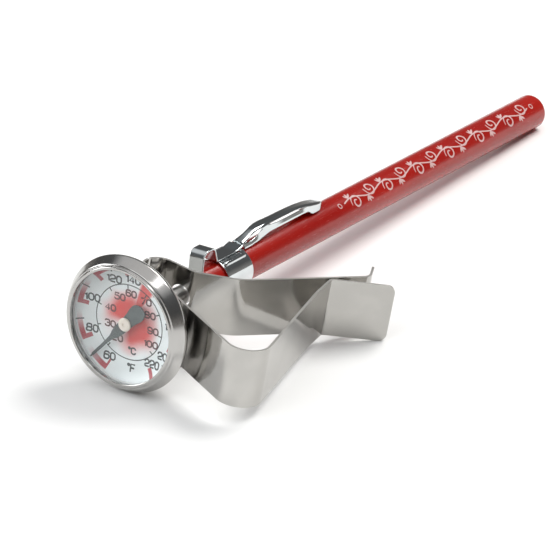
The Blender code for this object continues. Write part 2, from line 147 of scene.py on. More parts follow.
def flat_mesh(bm, name):
    """The mesh of a finished bmesh, as it is."""
    mesh = bpy.data.meshes.new(name)
    bm.to_mesh(mesh)
    bm.free()
    return mesh


def smooth(mesh, sharp=SHARP_ANGLE):
    """Smooth shading, with the edges above an angle in degrees kept sharp."""
    mesh.polygons.foreach_set("use_smooth", [True] * len(mesh.polygons))
    mesh.set_sharp_from_angle(angle=math.radians(sharp))


def smooth_mesh(bm, name, sharp=SHARP_ANGLE):
    bmesh.ops.recalc_face_normals(bm, faces=bm.faces)
    mesh = flat_mesh(bm, name)
    smooth(mesh, sharp)
    return mesh


def place(name, data, where=None):
    """A new object in the scene."""
    obj = bpy.data.objects.new(name, data)
    bpy.context.scene.collection.objects.link(obj)
    if where is not None:
        obj.matrix_world = where
    return obj


def paint(obj, material):
    obj.data.materials.clear()
    obj.data.materials.append(material)


def piece(name, mesh, where, body, slot, nodes=(), material=None):
    """An object of the visual model: where it lies, what it rides on and what it stands for."""
    obj = place(name, mesh, where)
    paint(obj, material or MATERIALS[slot])
    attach(obj, body)
    if nodes:
        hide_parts(*nodes)
    return obj


def bevel(obj, width, segments=3, angle=40.0):
    rounding = obj.modifiers.new("edges", "BEVEL")
    rounding.width = width * MM
    rounding.segments = segments
    rounding.limit_method = "ANGLE"
    rounding.angle_limit = math.radians(angle)
    rounding.harden_normals = True


def thicken(obj, thickness, offset=0.0, even=False):
    """Gives a sheet its thickness: offset 0 to both sides, 1 or -1 to one side."""
    shell = obj.modifiers.new("thickness", "SOLIDIFY")
    shell.thickness = thickness * MM
    shell.offset = offset
    shell.use_even_offset = even


def apply_modifiers(obj):
    depsgraph = bpy.context.evaluated_depsgraph_get()
    mesh = bpy.data.meshes.new_from_object(obj.evaluated_get(depsgraph))
    obj.modifiers.clear()
    obj.data = mesh


def cut_away(obj, mesh, where):
    """Cuts the shape of a mesh out of a piece, with the piece's modifiers applied."""
    tool = place("cutter", mesh, where)
    bpy.context.view_layer.update()
    cut = obj.modifiers.new("cut", "BOOLEAN")
    cut.operation = "DIFFERENCE"
    cut.solver = "EXACT"
    cut.object = tool
    apply_modifiers(obj)
    bpy.data.objects.remove(tool, do_unlink=True)


def ring(bm, radius, y, count):
    """Vertices on a circle round the stem's axis."""
    return [bm.verts.new((radius * MM * math.sin(2 * math.pi * i / count), y * MM,
                          radius * MM * math.cos(2 * math.pi * i / count)))
            for i in range(count)]


def lathe_mesh(name, profile, steps=144, closed=True):
    """A mesh turned round the stem's axis from (radius, y) points."""
    bm = bmesh.new()
    rings = []
    for radius, y in profile:
        if radius < 1e-6:
            rings.append([bm.verts.new((0, y * MM, 0))])
        else:
            rings.append(ring(bm, radius, y, steps))
    pairs = list(zip(rings, rings[1:]))
    if closed:
        pairs.append((rings[-1], rings[0]))
    for low, high in pairs:
        for i in range(steps):
            j = (i + 1) % steps
            corners = [low[i % len(low)], low[j % len(low)], high[j % len(high)],
                       high[i % len(high)]]
            unique = list(dict.fromkeys(corners))
            if len(unique) > 2:
                bm.faces.new(unique)
    return smooth_mesh(bm, name)


def slab_mesh(name, points, depth):
    """A flat outline of (x, y, z) points in millimetres, drawn out along a vector."""
    bm = bmesh.new()
    face = bm.faces.new([bm.verts.new([c * MM for c in point]) for point in points])
    extruded = bmesh.ops.extrude_face_region(bm, geom=[face])
    moved = [v for v in extruded["geom"] if isinstance(v, bmesh.types.BMVert)]
    bmesh.ops.translate(bm, vec=[c * MM for c in depth], verts=moved)
    return smooth_mesh(bm, name)


def strip_mesh(name, path, width, round_end=0.0):
    """A bent sheet along a path in its own XY plane, spread in Z, with its last end rounded."""
    if round_end:
        end = Vector(path[-1])
        back = (Vector(path[-2]) - end).normalized()
        path = path[:-1] + [tuple(end + back * round_end * (1 - math.sin(math.radians(angle))))
                            for angle in range(0, 91, 9)]
    bm = bmesh.new()
    end = Vector(path[-1])
    rows = []
    for point in path:
        short = round_end - (Vector(point) - end).length
        inset = round_end - math.sqrt(round_end ** 2 - short ** 2) if short > 1e-6 else 0.0
        half = (width / 2 - inset) * MM
        rows.append([bm.verts.new((point[0] * MM, point[1] * MM, side * half))
                     for side in (-1, -0.5, 0, 0.5, 1)])
    for low, high in zip(rows, rows[1:]):
        for i in range(len(low) - 1):
            bm.faces.new((low[i], high[i], high[i + 1], low[i + 1]))
    return flat_mesh(bm, name)


def make_strip(name, path, width, thickness, where, body, slot, nodes=(), round_end=0.0,
               hole=0.0, edge=0.12):
    """A bent strip of sheet metal with rounded edges, and a hole for the stem if one is given."""
    obj = piece(name, strip_mesh(name, path, width, round_end), where, body, slot, nodes)
    thicken(obj, thickness, even=True)
    if hole:
        drill = [(0, 0), (hole, 0), (hole, DRILL_LENGTH), (0, DRILL_LENGTH)]
        cut_away(obj, lathe_mesh("drill", drill, 48, False), where)
    else:
        apply_modifiers(obj)
    paint(obj, MATERIALS[slot])
    smooth(obj.data)
    bevel(obj, edge)


def ribbon(bm, path, width, lay):
    """A flat line of ink along a (u, v) path: width goes by the share of the path, from 0 to 1,
    and lay turns (u, v) into a point."""
    rows = []
    for i, point in enumerate(path):
        before = Vector(path[max(0, i - 1)])
        after = Vector(path[min(len(path) - 1, i + 1)])
        along = (after - before).normalized()
        aside = Vector((-along.y, along.x)) * width(i / (len(path) - 1)) / 2
        here = Vector(point)
        rows.append((bm.verts.new(lay(here + aside)), bm.verts.new(lay(here - aside))))
    for (a, b), (c, d) in zip(rows, rows[1:]):
        bm.faces.new((a, b, d, c))


# Materials ------------------------------------------------------------------------------------

class Nodes:
    """Short names for the nodes of one material."""

    def __init__(self, name):
        self.material = bpy.data.materials.new(name)
        self.material.use_nodes = True
        self.tree = self.material.node_tree
        self.shader = self.tree.nodes["Principled BSDF"]

    def add(self, kind, **values):
        node = self.tree.nodes.new(kind)
        for key, value in values.items():
            setattr(node, key, value)
        return node

    def link(self, source, target):
        self.tree.links.new(source, target)

    def set(self, socket, value):
        if hasattr(value, "links"):
            self.link(value, socket)
        else:
            socket.default_value = value

    def math(self, operation, a, b=0.0, c=0.0, clamp=False):
        node = self.add("ShaderNodeMath", operation=operation, use_clamp=clamp)
        for socket, value in zip(node.inputs, (a, b, c)):
            self.set(socket, value)
        return node.outputs[0]

    def between(self, value, low, high, start=0.0, end=1.0):
        """A smooth step from start at low to end at high."""
        node = self.add("ShaderNodeMapRange", interpolation_type="SMOOTHSTEP")
        for socket, number in zip(node.inputs, (value, low, high, start, end)):
            self.set(socket, number)
        return node.outputs[0]

    def mix(self, factor, a, b, blend="MIX"):
        node = self.add("ShaderNodeMix", data_type="RGBA", blend_type=blend)
        for socket, value in zip((node.inputs[0], node.inputs[6], node.inputs[7]),
                                 (factor, a, b)):
            self.set(socket, value)
        return node.outputs[2]

    def position(self, stretch=(1, 1, 1)):
        """Place on the piece in millimetres, stretched."""
        coordinates = self.add("ShaderNodeTexCoord")
        mapping = self.add("ShaderNodeMapping")
        mapping.inputs["Scale"].default_value = [1000 * s for s in stretch]
        self.link(coordinates.outputs["Object"], mapping.inputs["Vector"])
        return mapping.outputs[0]

    def noise(self, scale, detail=3.0, stretch=(1, 1, 1), roughness=0.5):
        node = self.add("ShaderNodeTexNoise")
        self.link(self.position(stretch), node.inputs["Vector"])
        node.inputs["Scale"].default_value = scale
        node.inputs["Detail"].default_value = detail
        node.inputs["Roughness"].default_value = roughness
        return node.outputs["Fac"]

    def bump(self, height, strength, distance, before=None):
        node = self.add("ShaderNodeBump")
        node.inputs["Strength"].default_value = strength
        node.inputs["Distance"].default_value = distance * MM
        self.link(height, node.inputs["Height"])
        if before is not None:
            self.link(before, node.inputs["Normal"])
        return node.outputs[0]


def color(r, g, b):
    return (r, g, b, 1.0)


def metal(name, tint, rough, grain=(1, 1, 1), grain_scale=8.0, grain_depth=0.004, smudge=0.08,
          cut_edges=0.0):
    """Bare or plated metal: fine grain or scratches, finger smudges and faint stains.

    cut_edges is the roughness of a strip's sheared edges, which face along the piece's own z; their
    colour is also painted 1.2 times lighter, a painted highlight along the edges.
    """
    n = Nodes(name)
    stain = n.noise(0.22, 4.0)
    dark = color(*(c * 0.94 for c in tint))
    face = n.mix(n.between(stain, 0.35, 0.68), dark, color(*tint))
    smear = n.noise(0.55, 5.0, (1.0, 0.4, 1.6), 0.6)
    scratch = n.noise(grain_scale, 3.0, grain, 0.65)
    base = n.between(smear, 0.38, 0.66, rough, rough + smudge)
    rough_face = n.math("MULTIPLY_ADD", scratch, rough * 0.35, base)
    if cut_edges:
        normal = n.add("ShaderNodeSeparateXYZ")
        n.link(n.add("ShaderNodeTexCoord").outputs["Normal"], normal.inputs[0])
        edge = n.between(n.math("ABSOLUTE", normal.outputs[2]), 0.45, 0.85)
        rough_face = n.math("MULTIPLY_ADD", edge, cut_edges - rough, rough_face)
        # Painted highlight: the sheared edges get a lighter copy of the tint, on top of their real
        # rougher finish
        face = n.mix(edge, face, color(*(c * 1.2 for c in tint)))
    n.link(face, n.shader.inputs["Base Color"])
    n.link(rough_face, n.shader.inputs["Roughness"])
    wave = n.noise(0.35, 1.0)
    ripple = n.bump(wave, 0.3, 0.012)
    n.link(n.bump(scratch, 0.5, grain_depth, ripple), n.shader.inputs["Normal"])
    n.shader.inputs["Metallic"].default_value = 1.0
    return n.material


def plastic(name, tint, rough, speckle=0.1, coat=0.0, bump=0.003):
    """Moulded or painted plastic, rubber or paint."""
    n = Nodes(name)
    tone = n.noise(1.3, 4.0)
    dark = color(*(c * (1 - speckle) for c in tint))
    n.link(n.mix(tone, dark, color(*tint)), n.shader.inputs["Base Color"])
    fine = n.noise(9.0, 4.0)
    n.link(n.between(fine, 0.3, 0.7, rough, rough + 0.08), n.shader.inputs["Roughness"])
    n.link(n.bump(fine, 0.4, bump), n.shader.inputs["Normal"])
    n.shader.inputs["Coat Weight"].default_value = coat
    n.shader.inputs["Coat Roughness"].default_value = 0.05
    return n.material


def sheath_red():
    """Glossy red plastic: slow ripples from moulding and hairline scuffs along it."""
    n = Nodes("sheath_red")
    tone = n.noise(0.09, 3.0, (1, 0.35, 1))
    base = n.mix(n.between(tone, 0.35, 0.65), color(0.30, 0.006, 0.003), color(0.37, 0.009, 0.004))
    scuff = n.noise(6.0, 4.0, (1, 0.06, 1), 0.7)
    worn = n.between(scuff, 0.66, 0.78, 0.0, 0.12)
    n.link(n.mix(worn, base, color(0.55, 0.10, 0.08)), n.shader.inputs["Base Color"])
    n.link(n.between(scuff, 0.35, 0.75, 0.18, 0.30), n.shader.inputs["Roughness"])
    ripple = n.bump(n.noise(0.16, 2.0, (1, 0.5, 1)), 0.4, 0.06)
    n.link(n.bump(scuff, 0.35, 0.003, ripple), n.shader.inputs["Normal"])
    n.shader.inputs["IOR"].default_value = 1.47
    n.shader.inputs["Coat Weight"].default_value = 0.06
    n.shader.inputs["Coat Roughness"].default_value = 0.04
    n.shader.inputs["Subsurface Weight"].default_value = 0.08
    n.shader.inputs["Subsurface Scale"].default_value = 0.6 * MM
    return n.material


def crystal_clear():
    """Clear window that lets the lights through to the dial."""
    n = Nodes("crystal_clear")
    n.shader.inputs["Base Color"].default_value = color(0.985, 0.995, 0.99)
    n.shader.inputs["Transmission Weight"].default_value = 1.0
    n.shader.inputs["IOR"].default_value = 1.45
    film = n.noise(0.5, 5.0)
    n.link(n.between(film, 0.45, 0.75, 0.0, 0.045), n.shader.inputs["Roughness"])
    path = n.add("ShaderNodeLightPath")
    clear = n.add("ShaderNodeBsdfTransparent")
    clear.inputs[0].default_value = color(0.96, 0.97, 0.965)
    choose = n.add("ShaderNodeMixShader")
    n.link(path.outputs["Is Shadow Ray"], choose.inputs[0])
    n.link(n.shader.outputs[0], choose.inputs[1])
    n.link(clear.outputs[0], choose.inputs[2])
    n.link(choose.outputs[0], n.tree.nodes["Material Output"].inputs[0])
    return n.material


ANGLE_AT_60F = 203.5
ANGLE_PER_20F = 38.1


PALE_ANGLE = 232.0              # where the red glow is faintest
WEDGE_ANGLE = 27.0              # the middle of the red wedge between 140 and 160 F
RIM_IN_R = 10.5
RIM_OUT_R = 11.6


def dial_glow(n, radius, around):
    """Red sprayed round the dial's middle, paler on the cold side, and a red wedge."""
    spray = n.noise(0.28, 0.0)
    soft = n.math("ADD", radius, n.between(spray, 0.2, 0.8, -0.6, 0.6))
    glow = n.between(soft, 3.4, 7.7, 1.0, 0.0)
    away = n.math("ABSOLUTE", n.math("SUBTRACT", around, PALE_ANGLE))
    glow = n.math("MULTIPLY", glow, n.between(away, 14.0, 60.0, 0.18, 1.0))
    off_wedge = n.math("ABSOLUTE", n.math("SUBTRACT", around, WEDGE_ANGLE))
    wedge = n.math("MULTIPLY", n.between(off_wedge, 7.0, 13.0, 1.0, 0.0),
                   n.between(radius, 8.9, 9.3, 1.0, 0.0))
    return n.math("MAXIMUM", glow, n.math("MULTIPLY", wedge, 0.95))


def rim_scale(n, radius, around):
    """Red rim scale: a bar at every 20 degrees Fahrenheit, and a band that fades after it."""
    past_60f = n.math("MODULO", n.math("ADD", around, 360.0 - ANGLE_AT_60F), 360.0)
    step = n.math("DIVIDE", past_60f, ANGLE_PER_20F)
    part = n.math("FRACT", step)
    on_scale = n.math("LESS_THAN", step, 7.95)
    band = n.math("MULTIPLY", n.between(radius, RIM_IN_R, RIM_IN_R + 0.2, 0.0, 1.0),
                  n.between(radius, RIM_OUT_R - 0.2, RIM_OUT_R, 1.0, 0.0))
    fade = n.between(part, 0.15, 0.8, 1.0, 0.0)
    rim = n.math("MULTIPLY", n.math("MULTIPLY", band, fade), on_scale)
    nearest = n.math("ABSOLUTE", n.math("SUBTRACT", step, n.math("ROUND", step)))
    aside = n.math("MULTIPLY", n.math("MULTIPLY", nearest, radius), math.radians(ANGLE_PER_20F))
    bar = n.math("MULTIPLY", n.between(aside, 0.40, 0.48, 1.0, 0.0),
                 n.math("MULTIPLY", n.between(radius, 9.4, 9.5, 0.0, 1.0),
                        n.between(radius, RIM_OUT_R - 0.2, RIM_OUT_R, 1.0, 0.0)))
    bar = n.math("MULTIPLY", bar, n.math("LESS_THAN", n.math("ROUND", step), 8.5))
    return n.math("MAXIMUM", rim, n.math("MULTIPLY", bar, 0.95))


def dial_white():
    """Printed dial: white enamel, the soft red glow round the middle and the red rim scale."""
    n = Nodes("dial_white")
    axes = n.add("ShaderNodeSeparateXYZ")
    n.link(n.position(), axes.inputs[0])
    x, z = axes.outputs[0], axes.outputs[2]
    radius = n.math("SQRT", n.math("ADD", n.math("MULTIPLY", x, x), n.math("MULTIPLY", z, z)))
    degrees = n.math("MULTIPLY", n.math("ARCTAN2", x, z), 180 / math.pi)
    around = n.math("MODULO", n.math("ADD", degrees, 720.0), 360.0)
    glow = dial_glow(n, radius, around)
    rim = rim_scale(n, radius, around)
    paper = n.mix(n.noise(0.5, 3.0), color(0.80, 0.845, 0.86), color(0.87, 0.90, 0.91))
    warmed = n.mix(glow, paper, color(0.68, 0.045, 0.04))
    n.link(n.mix(rim, warmed, color(0.44, 0.03, 0.05)), n.shader.inputs["Base Color"])
    grain = n.noise(7.0, 3.0)
    n.link(n.between(grain, 0.3, 0.7, 0.34, 0.48), n.shader.inputs["Roughness"])
    n.link(n.bump(grain, 0.3, 0.004), n.shader.inputs["Normal"])
    return n.material


EVEN = (1, 1, 1)
LENGTHWISE = (1, 0.05, 1)
ACROSS_STRIP = (0.06, 0.06, 1.2)
MATERIALS = {
    "polished_steel": metal("polished_steel", (0.50, 0.49, 0.475), 0.12, EVEN, 5.0, 0.003, 0.04),
    "satin_steel": metal("satin_steel", (0.48, 0.47, 0.46), 0.24, LENGTHWISE, 9.0, 0.006),
    "spring_steel": metal("spring_steel", (0.50, 0.488, 0.465), 0.07, ACROSS_STRIP, 7.0, 0.003,
                          0.03, cut_edges=0.35),
    "clip_chrome": metal("clip_chrome", (0.68, 0.71, 0.72), 0.05, (1, 0.2, 1), 5.0, 0.002, 0.03),
    "crystal_clear": crystal_clear(),
    "gasket_grey": plastic("gasket_grey", (0.46, 0.46, 0.47), 0.55),
    "spacer_white": plastic("spacer_white", (0.88, 0.89, 0.89), 0.4),
    "dial_white": dial_white(),
    "pointer_dark": plastic("pointer_dark", (0.055, 0.075, 0.078), 0.32, 0.3, 0.2),
    "hub_cream": plastic("hub_cream", (0.78, 0.70, 0.62), 0.3, 0.12, 0.3),
    "inner_steel": metal("inner_steel", (0.5, 0.49, 0.47), 0.3, LENGTHWISE, 9.0),
    "bush_brass": metal("bush_brass", (0.60, 0.44, 0.19), 0.25, LENGTHWISE, 6.0),
    "seal_black": plastic("seal_black", (0.02, 0.02, 0.02), 0.6, 0.3, 0.0, 0.006),
    "sheath_red": sheath_red(),
}
INK_DARK = plastic("ink_dark", (0.035, 0.045, 0.048), 0.45, 0.35)
INK_MAROON = plastic("ink_maroon", (0.10, 0.016, 0.018), 0.45, 0.3)
INK_SILVER = plastic("ink_silver", (0.74, 0.50, 0.49), 0.35, 0.3, 0.2)


# Dial head ------------------------------------------------------------------------------------

DIAL_R = 11.95
DIAL_FLAT_R = 8.5
DIAL_FRONT = 3.7
DIAL_RIM_FRONT = 2.4
DIAL_THICK = 0.35


def dial_front(radius):
    """Depth of the dial's face: flat in the middle, curving up to the rim."""
    rise = max(0.0, (radius - DIAL_FLAT_R) / (DIAL_R - DIAL_FLAT_R))
    return DIAL_FRONT - (DIAL_FRONT - DIAL_RIM_FRONT) * rise ** 2


def make_bezel():
    """The rolled ring: a lip round the window, a small step and the curl behind."""
    outside = spline([(11.4, 0.3), (11.4, 0.12), (11.52, 0.01), (11.75, 0.0), (11.95, 0.06),
                      (12.07, 0.22), (12.16, 0.34), (12.3, 0.38), (12.48, 0.46), (12.68, 0.7),
                      (13.02, 1.25), (13.45, 1.95), (13.7, 2.35), (13.75, 2.6), (13.69, 2.95),
                      (13.55, 3.3), (13.42, 3.52), (13.3, 3.56), (13.18, 3.46)])
    inside = [(13.3, 3.0), (13.45, 2.6), (13.15, 2.05), (12.4, 0.95), (12.1, 0.58),
              (11.6, 0.62), (11.4, 0.66)]
    piece("bezel_rolled_ring", lathe_mesh("bezel_rolled_ring", outside + inside, 192), STEM,
          "head", "polished_steel", ["bezel_ring"])


def make_case():
    bowl = spline([(12.8, 2.1), (12.8, 2.9), (12.78, 3.5), (12.55, 4.2), (12.15, 4.85),
                   (11.5, 5.5), (10.7, 5.88), (9.9, 6.0), (8.6, 6.02)], 4)
    boss = rounded_path([(8.4, 6.02, 0), (5.7, 6.0, 0.5), (5.55, 7.6, 0.45), (2.2, 7.6, 0)])
    inside = [(2.2, 7.1), (5.1, 7.1), (5.1, 5.5), (10.3, 5.5), (11.3, 4.85), (11.7, 4.1),
              (11.75, 3.05), (12.3, 3.05), (12.3, 2.1)]
    piece("case_bowl", lathe_mesh("case_bowl", bowl + boss + inside), STEM,
          "head", "satin_steel", ["case_cup"])


def make_window():
    dome = [(12.12 * i / 24, 0.83 + 0.12 * (i / 24) ** 2) for i in range(25)]
    edge = [(12.15, 0.99), (12.15, 1.46), (12.1, 1.5)]
    back = [(12.1 * i / 12, 1.5) for i in range(11, -1, -1)]
    piece("window", lathe_mesh("window", dome + edge + back, 128, False), STEM,
          "head", "crystal_clear", ["crystal"])


def make_dial():
    radii = [1.0, 4.0, DIAL_FLAT_R] + [DIAL_FLAT_R + (DIAL_R - DIAL_FLAT_R) * i / 16
                                       for i in range(1, 17)]
    face = [(r, dial_front(r)) for r in radii]
    rear = [(r, y + DIAL_THICK) for r, y in reversed(face)]
    piece("dished_dial", lathe_mesh("dished_dial", face + rear), STEM,
          "head", "dial_white", ["dial_plate"])


def on_dial(point, lift=0.012):
    """A (x, z) point of the dial's printing, laid on the dished face."""
    return Vector((point[0], dial_front(math.hypot(*point)) - lift, point[1])) * MM


def on_angle(radius, degrees):
    """The (x, z) point at a radius and angle of the dial."""
    a = math.radians(degrees)
    return (radius * math.sin(a), radius * math.cos(a))


WIDE = 0.74
GLYPHS = {                      # strokes of (x, y, radius) corners, for a height of 1
    "0": [[(0, 0, 0.34), (WIDE, 0, 0.34), (WIDE, 1, 0.34), (0, 1, 0.34)]],
    "1": [[(0, 0.76, 0), (0.26, 1, 0), (0.26, 0, 0)]],
    "2": [[(0, 0.66, 0), (0, 1, 0.26), (WIDE, 1, 0.26), (WIDE, 0.5, 0.14), (0, 0.3, 0.14),
           (0, 0, 0), (WIDE, 0, 0)]],
    "3": [[(0, 0.76, 0), (0, 1, 0.22), (WIDE, 1, 0.22), (WIDE, 0.53, 0.2), (0.26, 0.53, 0)],
          [(0.26, 0.53, 0), (WIDE, 0.53, 0.22), (WIDE, 0, 0.24), (0, 0, 0.22), (0, 0.26, 0)]],
    "4": [[(0.56, 0, 0), (0.56, 1, 0), (0, 0.3, 0), (WIDE, 0.3, 0)]],
    "5": [[(WIDE, 1, 0), (0.06, 1, 0), (0.03, 0.58, 0), (WIDE, 0.62, 0.26), (WIDE, 0, 0.26),
           (0, 0, 0.22), (0, 0.26, 0)]],
    "6": [[(WIDE, 0.74, 0), (WIDE, 1, 0.22), (0, 1, 0.3), (0, 0, 0.3), (WIDE, 0, 0.26),
           (WIDE, 0.58, 0.26), (0.02, 0.58, 0)]],
    "7": [[(0, 1, 0), (WIDE, 1, 0), (0.28, 0, 0)]],
    "8": [[(0.04, 0.52, 0.2), (WIDE - 0.04, 0.52, 0.2), (WIDE - 0.04, 1, 0.2), (0.04, 1, 0.2)],
          [(0, 0, 0.24), (WIDE, 0, 0.24), (WIDE, 0.52, 0.24), (0, 0.52, 0.24)]],
    "9": [[(0, 0.26, 0), (0, 0, 0.22), (WIDE, 0, 0.3), (WIDE, 1, 0.3), (0, 1, 0.26),
           (0, 0.42, 0.26), (WIDE - 0.02, 0.42, 0)]],
    "F": [[(0, 0, 0), (0, 1, 0), (0.66, 1, 0)], [(0, 0.52, 0), (0.56, 0.52, 0)]],
    "C": [[(WIDE, 0.7, 0), (WIDE, 1, 0.27), (0, 1, 0.32), (0, 0, 0.32), (WIDE, 0, 0.27),
           (WIDE, 0.3, 0)]],
    "°": [[(0, 0.74, 0.12), (0.26, 0.74, 0.12), (0.26, 1, 0.12), (0, 1, 0.12)]],
}
CLOSED_GLYPHS = "08°"
LETTER_GAP = 0.24
FIGURE_STROKE = 0.32


def ink_text(bm, text, height, stretch, radius, degrees):
    """A number or unit set upright, its middle at a radius and angle of the dial."""
    middle = on_angle(radius, degrees)
    widths = [max(x for path in GLYPHS[letter] for x, _, _ in path) for letter in text]
    left = -(sum(widths) + LETTER_GAP * (len(text) - 1)) / 2
    for letter, width in zip(text, widths):
        for corners in GLYPHS[letter]:
            if letter in CLOSED_GLYPHS:
                path = rounded_loop(corners, 18)
                path.append(path[0])
            else:
                path = rounded_path(corners, 18)
            ink_line(bm, [(middle[0] + (left + x) * height * stretch,
                           middle[1] + (y - 0.5) * height) for x, y in path], FIGURE_STROKE)
        left += width + LETTER_GAP


def ink_line(bm, path, width):
    """A line of one width on the dial, with points that repeat left out."""
    distinct = [p for p, q in zip(path, path[1:]) if p != q] + [path[-1]]
    ribbon(bm, distinct, lambda share: width, on_dial)


def dial_ink(name, bm, material):
    obj = piece(name, flat_mesh(bm, name), STEM, "head", "dial_white", material=material)
    thicken(obj, INK_THICK, -1.0)


def fahrenheit_angle(degrees):
    return ANGLE_AT_60F + (degrees - 60) * ANGLE_PER_20F / 20


def celsius_angle(degrees):
    return fahrenheit_angle(1.8 * degrees + 32)


SCALE_CIRCLE_R = 7.56           # the circle between the two scales
FAHRENHEIT_HEIGHT = 1.38
CELSIUS_HEIGHT = 1.24
# Value, and the radius and angle of its figure's middle
FAHRENHEIT = ((60, 9.0, 208.0), (80, 9.0, 248.5), (100, 9.0, 289.4), (120, 8.8, 335.5),
              (140, 8.8, 4.5), (160, 9.7, 42.0), (180, 9.7, 82.0), (200, 9.8, 120.0),
              (220, 9.0, 142.0))
CELSIUS = ((20, 4.6, 214.0), (30, 4.5, 253.0), (40, 4.8, 294.0), (50, 5.2, 334.0),
           (60, 5.9, 2.7), (70, 6.3, 36.0), (80, 5.4, 61.0), (90, 5.5, 94.0), (100, 6.0, 122.0))


def make_printing():
    """The scales' circle, marks, figures and units, in two inks."""
    dark = bmesh.new()
    ink_line(dark, [on_angle(SCALE_CIRCLE_R, a) for a in range(0, 361, 3)], 0.2)
    for value in range(20, 101, 10):
        a = celsius_angle(value)
        ink_line(dark, [on_angle(6.75, a), on_angle(SCALE_CIRCLE_R, a)], 0.24)
    for value in range(70, 220, 20):
        a = fahrenheit_angle(value)
        ink_line(dark, [on_angle(10.3, a), on_angle(11.0, a), on_angle(11.75, a)], 0.26)
    for value, radius, degrees in FAHRENHEIT:
        stretch = 1.02 if value < 150 else 0.88
        ink_text(dark, str(value), FAHRENHEIT_HEIGHT, stretch, radius, degrees)
    ink_text(dark, "°F", 1.5, 0.95, 9.2, 175.0)
    ink_text(dark, "°C", 1.25, 1.0, 5.7, 171.5)
    dial_ink("dial_ink", dark, INK_DARK)
    maroon = bmesh.new()
    for value, radius, degrees in CELSIUS:
        ink_text(maroon, str(value), CELSIUS_HEIGHT, 1.08, radius, degrees)
    dial_ink("dial_celsius_ink", maroon, INK_MAROON)


def make_pointer():
    front, thick = 2.35, 0.25
    side = spline([(1.62, -3.0), (1.3, -1.6), (1.2, 0.8), (0.95, 3.2), (0.42, 5.2),
                   (0.28, 10.9)], 4)
    tail = arc((0, -3.9), 1.7, -math.pi, 0.0, 8)
    outline = [(-x, z) for x, z in reversed(side)] + tail + side + [(0, 11.2)]
    mesh = slab_mesh("pointer_blade", [(x, front, z) for x, z in outline], (0, thick, 0))
    blade = piece("pointer_blade", mesh, POINTER, "pointer", "pointer_dark", ["pointer"])
    bevel(blade, 0.05, 2)


def make_hub():
    """The pointer's button, with a dimple in its middle."""
    button = rounded_path([(0, 2.02, 0), (0.26, 2.0, 0.1), (0.36, 1.86, 0.1), (0.95, 1.87, 0.3),
                           (1.36, 2.0, 0.22), (1.38, 2.27, 0), (0, 2.27, 0)], 15)
    piece("pointer_button", lathe_mesh("pointer_button", button, 64, False), POINTER,
          "pointer", "hub_cream", ["pointer_hub"])


# Stem -----------------------------------------------------------------------------------------

STEM_R = 1.9
STEM_START = 4.6
STEM_END = 133.0
NUT_FLAT_R = 3.8                # from the stem's axis to the middle of a flat
NUT_START = 7.9
NUT_END = 9.2
NUT_BORE_R = 1.98


def make_stem():
    inside = [(0, 132.5), (1.25, 132.4), (1.55, 132.1), (1.55, STEM_START)]
    outside = rounded_path([(STEM_R, STEM_START, 0), (STEM_R, STEM_END, 0.9), (0, STEM_END, 0)],
                           12)
    piece("drawn_stem", lathe_mesh("drawn_stem", inside + outside, 64, False), STEM,
          "stem", "satin_steel", ["stem_tube"])


def make_nut():
    """The calibration nut: a hexagon with its ends chamfered and a round bore."""
    corner, chamfer = NUT_FLAT_R / math.cos(math.pi / 6), 0.35
    bm = bmesh.new()
    rings = [ring(bm, corner - chamfer, NUT_START, 6), ring(bm, corner, NUT_START + 0.3, 6),
             ring(bm, corner, NUT_END - 0.3, 6), ring(bm, corner - chamfer, NUT_END, 6)]
    for low, high in zip(rings, rings[1:]):
        for i in range(6):
            bm.faces.new((low[i], low[(i + 1) % 6], high[(i + 1) % 6], high[i]))
    start, end = (ring(bm, NUT_BORE_R, y, 36) for y in (NUT_START, NUT_END))
    for i in range(36):
        bm.faces.new((start[i], start[(i + 1) % 36], end[(i + 1) % 36], end[i]))
    for hexagon, hole in ((rings[0], start), (rings[-1], end)):
        for i in range(6):
            bm.faces.new([hexagon[i], hexagon[(i + 1) % 6]]
                         + [hole[(6 * i + k) % 36] for k in range(6, -1, -1)])
    nut = piece("hex_nut", smooth_mesh(bm, "hex_nut", 20), STEM, "stem", "satin_steel",
                ["calibration_nut"])
    bevel(nut, 0.08, 2, 25)


# Pan clip -------------------------------------------------------------------------------------

STRIP_WIDTH = 12.2
STRIP_THICK = 0.5
CLOSED_END = (-3.4, 17.05)
CLOSED_END_R = 3.45
SPLIT = math.radians(168.0)     # where the bend is cut between the clip's two nodes
SPLIT_HALF = math.radians(4.2)
NEAR_LEG = math.radians(-22.8)  # the near leg's slope
STEM_HOLE_R = 2.3


def make_far_leg():
    """The sprung leg, from the closed end to the mouth."""
    bend = arc(CLOSED_END, CLOSED_END_R, SPLIT - SPLIT_HALF, math.pi / 2)
    top = bend[-1]
    leg = bend[:-1] + rounded_path([(*top, 0), (2.2, top[1], 3.0), (9.9, 25.3, 8.0),
                                    (25.3, 47.5, 2.0), (23.2, 51.9, 0)])
    make_strip("clip_far_leg", leg, STRIP_WIDTH, STRIP_THICK, CLIP, "far_leg", "spring_steel",
               ["pan_clip_far_leg"], 0.8, STEM_HOLE_R)


def make_clip_body():
    """The near leg, the nose, the pinch at the mouth and the flared tab."""
    bend = arc(CLOSED_END, CLOSED_END_R, SPLIT + SPLIT_HALF, NEAR_LEG + 1.5 * math.pi)
    start = bend[-1]
    nose = (30.8, start[1] + (30.8 - start[0]) * math.tan(NEAR_LEG), 4.6)
    body = bend[:-1] + rounded_path([(*start, 0), nose, (22.2, 33.2, 25.0), (21.0, 40.1, 0.9),
                                     (30.9, 48.2, 0)])
    make_strip("clip_body", body, STRIP_WIDTH, STRIP_THICK, CLIP, "pan_clip", "spring_steel",
               ["pan_clip_strip"], 1.6, STEM_HOLE_R)


# Sheath and pocket clip -----------------------------------------------------------------------

SHEATH_R = 3.68
SHEATH_BORE_R = 2.3
SHEATH_MOUTH = 25.9
SHEATH_END = 152.7
ORNAMENT_ANGLE = 39.0           # where the ornament runs, clockwise from the sheath's top


